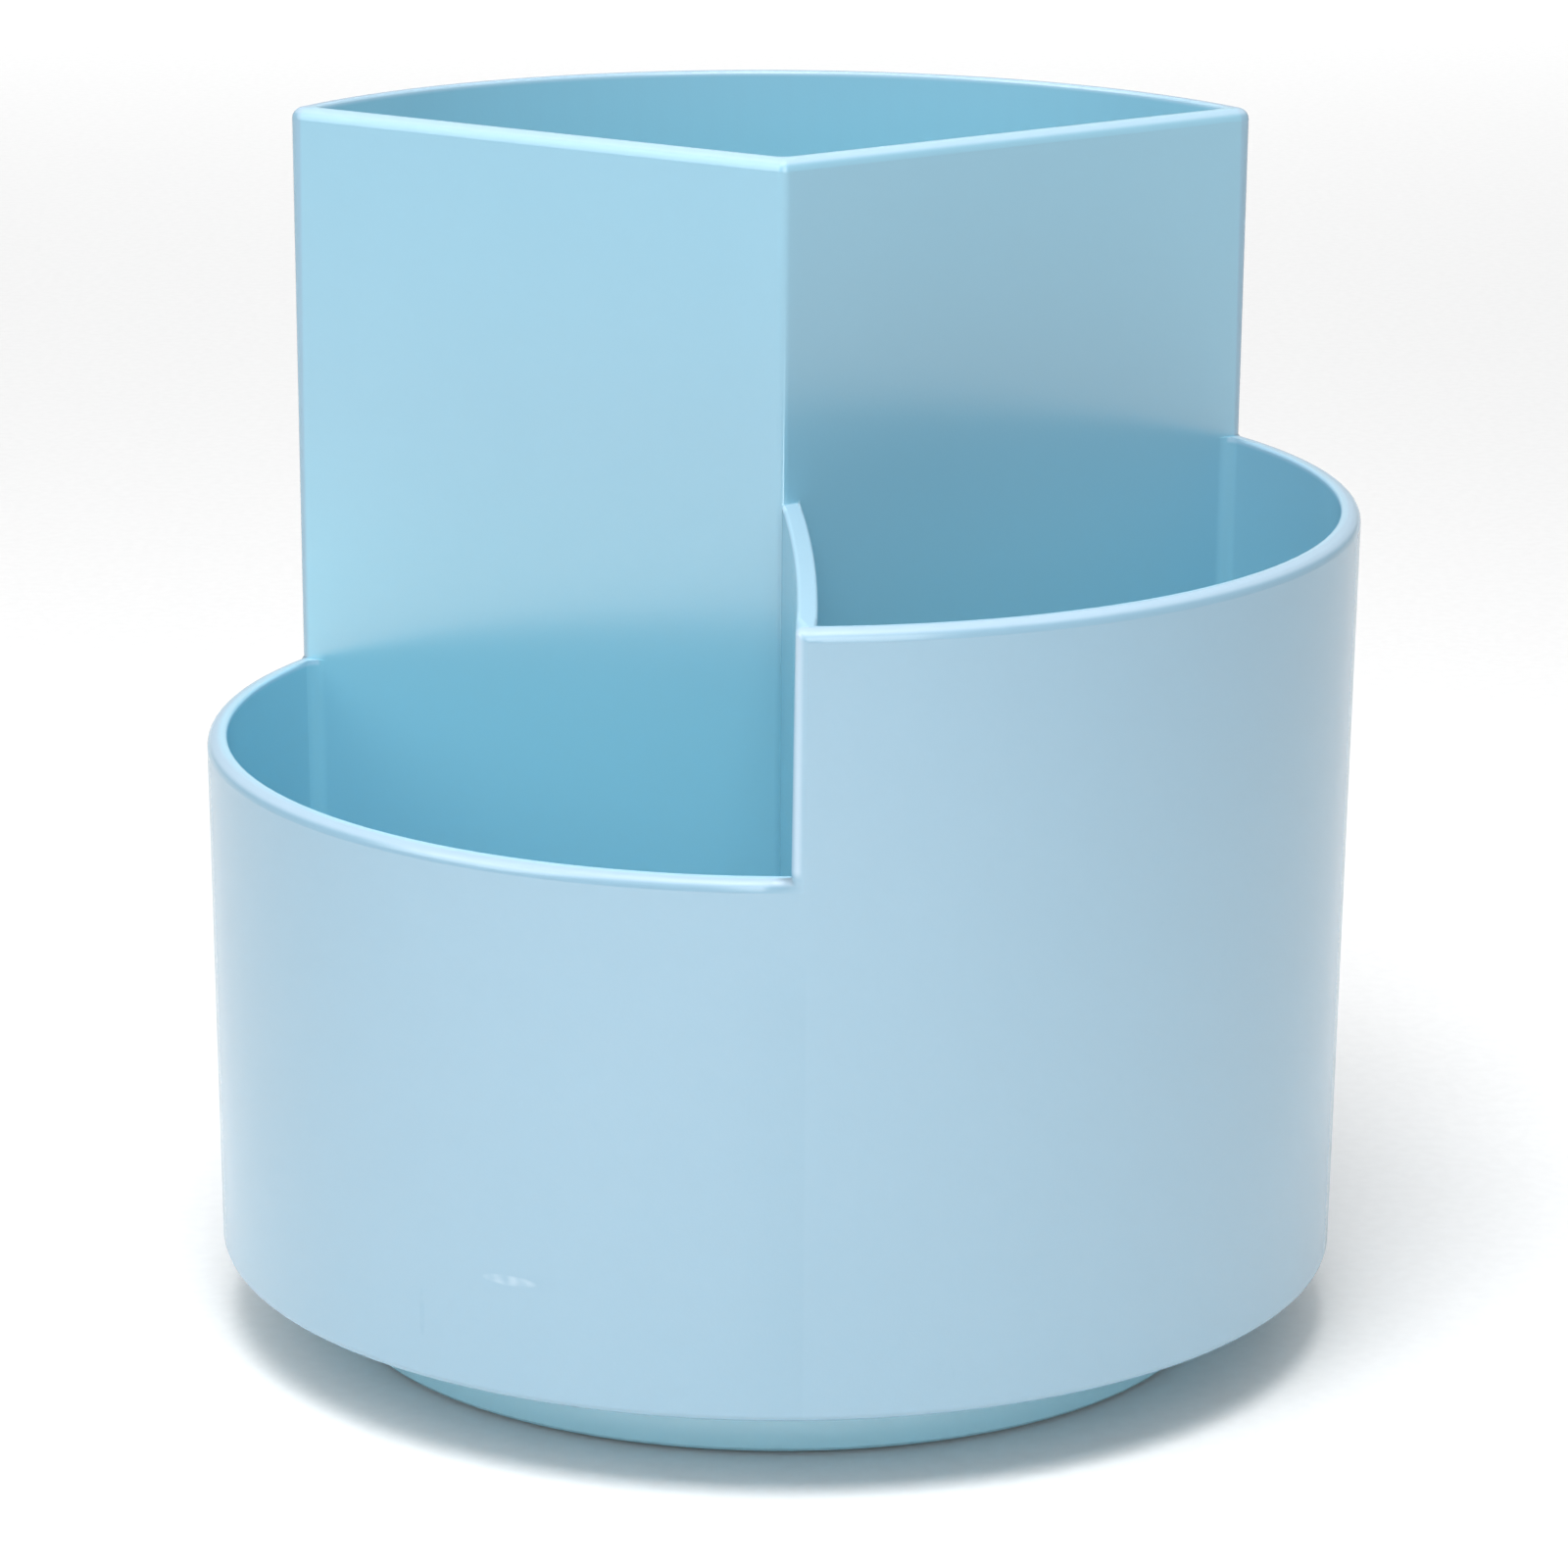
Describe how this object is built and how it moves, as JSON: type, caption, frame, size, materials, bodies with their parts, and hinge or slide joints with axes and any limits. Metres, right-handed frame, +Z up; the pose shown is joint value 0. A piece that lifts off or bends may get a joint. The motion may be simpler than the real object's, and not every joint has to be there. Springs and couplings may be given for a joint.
{
  "type": "rotating pen holder",
  "caption": "Round desktop pen holder whose stepped cup, divided into compartments of different height, spins on a low ball bearing base.",
  "frame": {"origin": "on the spin axis at the desk, under the base's foot pads", "axes": "+Z up along the spin axis; -Y to the front, where the divider points; the low compartment at -X, the medium one at +X and the tall one at +Y"},
  "size_m": [0.1163, 0.1171, 0.1204],
  "materials": {
    "blue_plastic": "satin moulded polypropylene, pale blue",
    "base_plastic": "satin moulded polypropylene, pale blue, a little darker",
    "bush_plastic": "natural low friction acetal",
    "ball_steel": "polished bearing steel",
    "zinc_steel": "bright zinc plate",
    "pad_rubber": "matt black rubber"
  },
  "bodies": {
    "base": {"base_dish": "base_plastic", "pivot_bush": "bush_plastic", "foot_pad_1": "pad_rubber", "foot_pad_2": "pad_rubber", "foot_pad_3": "pad_rubber", "foot_pad_4": "pad_rubber"},
    "cup": {"pen_cup": "blue_plastic", "pivot_washer": "zinc_steel", "pivot_screw": "zinc_steel"},
    "cage": {"ball_cage": "bush_plastic"},
    "ball_01": {"bearing_ball_01": "ball_steel"},
    "ball_02": {"bearing_ball_02": "ball_steel"},
    "ball_03": {"bearing_ball_03": "ball_steel"},
    "ball_04": {"bearing_ball_04": "ball_steel"},
    "ball_05": {"bearing_ball_05": "ball_steel"},
    "ball_06": {"bearing_ball_06": "ball_steel"},
    "ball_07": {"bearing_ball_07": "ball_steel"},
    "ball_08": {"bearing_ball_08": "ball_steel"},
    "ball_09": {"bearing_ball_09": "ball_steel"},
    "ball_10": {"bearing_ball_10": "ball_steel"},
    "ball_11": {"bearing_ball_11": "ball_steel"},
    "ball_12": {"bearing_ball_12": "ball_steel"}
  },
  "joints": [
    {"name": "cup_spin", "type": "hinge", "parent": "base", "child": "cup", "pos_m": [0, 0, 0.01], "axis": [0, 0, 1], "continuous": true},
    {"name": "cage_spin", "type": "hinge", "parent": "base", "child": "cage", "pos_m": [0, 0, 0.01], "axis": [0, 0, 1], "continuous": true},
    {"name": "ball_01_roll", "type": "hinge", "parent": "cage", "child": "ball_01", "pos_m": [0.03, 0, 0.01125], "axis": [-1, 0, 0], "continuous": true},
    {"name": "ball_02_roll", "type": "hinge", "parent": "cage", "child": "ball_02", "pos_m": [0.02598, 0.015, 0.01125], "axis": [-0.866, -0.5, 0], "continuous": true},
    {"name": "ball_03_roll", "type": "hinge", "parent": "cage", "child": "ball_03", "pos_m": [0.015, 0.02598, 0.01125], "axis": [-0.5, -0.866, 0], "continuous": true},
    {"name": "ball_04_roll", "type": "hinge", "parent": "cage", "child": "ball_04", "pos_m": [0, 0.03, 0.01125], "axis": [0, -1, 0], "continuous": true},
    {"name": "ball_05_roll", "type": "hinge", "parent": "cage", "child": "ball_05", "pos_m": [-0.015, 0.02598, 0.01125], "axis": [0.5, -0.866, 0], "continuous": true},
    {"name": "ball_06_roll", "type": "hinge", "parent": "cage", "child": "ball_06", "pos_m": [-0.02598, 0.015, 0.01125], "axis": [0.866, -0.5, 0], "continuous": true},
    {"name": "ball_07_roll", "type": "hinge", "parent": "cage", "child": "ball_07", "pos_m": [-0.03, 0, 0.01125], "axis": [1, 0, 0], "continuous": true},
    {"name": "ball_08_roll", "type": "hinge", "parent": "cage", "child": "ball_08", "pos_m": [-0.02598, -0.015, 0.01125], "axis": [0.866, 0.5, 0], "continuous": true},
    {"name": "ball_09_roll", "type": "hinge", "parent": "cage", "child": "ball_09", "pos_m": [-0.015, -0.02598, 0.01125], "axis": [0.5, 0.866, 0], "continuous": true},
    {"name": "ball_10_roll", "type": "hinge", "parent": "cage", "child": "ball_10", "pos_m": [0, -0.03, 0.01125], "axis": [0, 1, 0], "continuous": true},
    {"name": "ball_11_roll", "type": "hinge", "parent": "cage", "child": "ball_11", "pos_m": [0.015, -0.02598, 0.01125], "axis": [-0.5, 0.866, 0], "continuous": true},
    {"name": "ball_12_roll", "type": "hinge", "parent": "cage", "child": "ball_12", "pos_m": [0.02598, -0.015, 0.01125], "axis": [-0.866, 0.5, 0], "continuous": true}
  ],
  "couplings": [
    {"joint": "cage_spin", "follows": "cup_spin", "ratio": 0.5},
    {"joint": "ball_01_roll", "follows": "cup_spin", "ratio": 7.5},
    {"joint": "ball_02_roll", "follows": "cup_spin", "ratio": 7.5},
    {"joint": "ball_03_roll", "follows": "cup_spin", "ratio": 7.5},
    {"joint": "ball_04_roll", "follows": "cup_spin", "ratio": 7.5},
    {"joint": "ball_05_roll", "follows": "cup_spin", "ratio": 7.5},
    {"joint": "ball_06_roll", "follows": "cup_spin", "ratio": 7.5},
    {"joint": "ball_07_roll", "follows": "cup_spin", "ratio": 7.5},
    {"joint": "ball_08_roll", "follows": "cup_spin", "ratio": 7.5},
    {"joint": "ball_09_roll", "follows": "cup_spin", "ratio": 7.5},
    {"joint": "ball_10_roll", "follows": "cup_spin", "ratio": 7.5},
    {"joint": "ball_11_roll", "follows": "cup_spin", "ratio": 7.5},
    {"joint": "ball_12_roll", "follows": "cup_spin", "ratio": 7.5}
  ]
}
